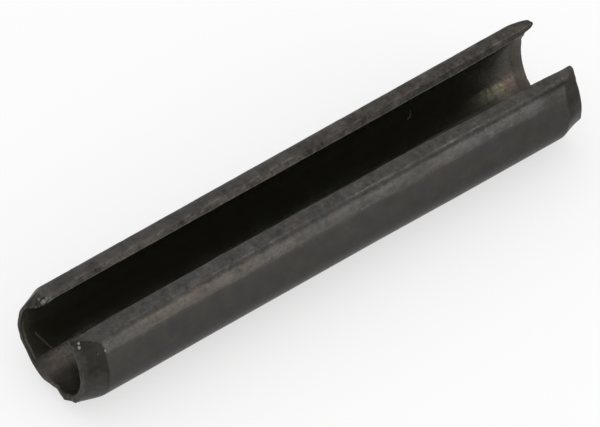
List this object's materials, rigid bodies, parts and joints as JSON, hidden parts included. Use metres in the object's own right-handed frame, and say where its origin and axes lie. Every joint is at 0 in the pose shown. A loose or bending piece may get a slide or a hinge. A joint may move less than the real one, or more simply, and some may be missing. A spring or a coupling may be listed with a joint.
{
  "type": "slotted spring pin",
  "caption": "Slotted spring pin: a spring-steel tube with a full-length open slot and tapered ends, dark with light rust.",
  "frame": {"origin": "middle of the pin's axis, half way between its two end faces", "axes": "+X along the pin's axis; +Z out of the slot, straight up as the pin lies; +Y across the slot"},
  "size_m": [0.032, 0.0064, 0.0055],
  "materials": {
    "spring_steel": "dark oiled spring steel, slightly mottled with thin brown rust, brighter along the slot's edges"
  },
  "bodies": {
    "root": {"spring_pin": "spring_steel"}
  },
  "joints": []
}
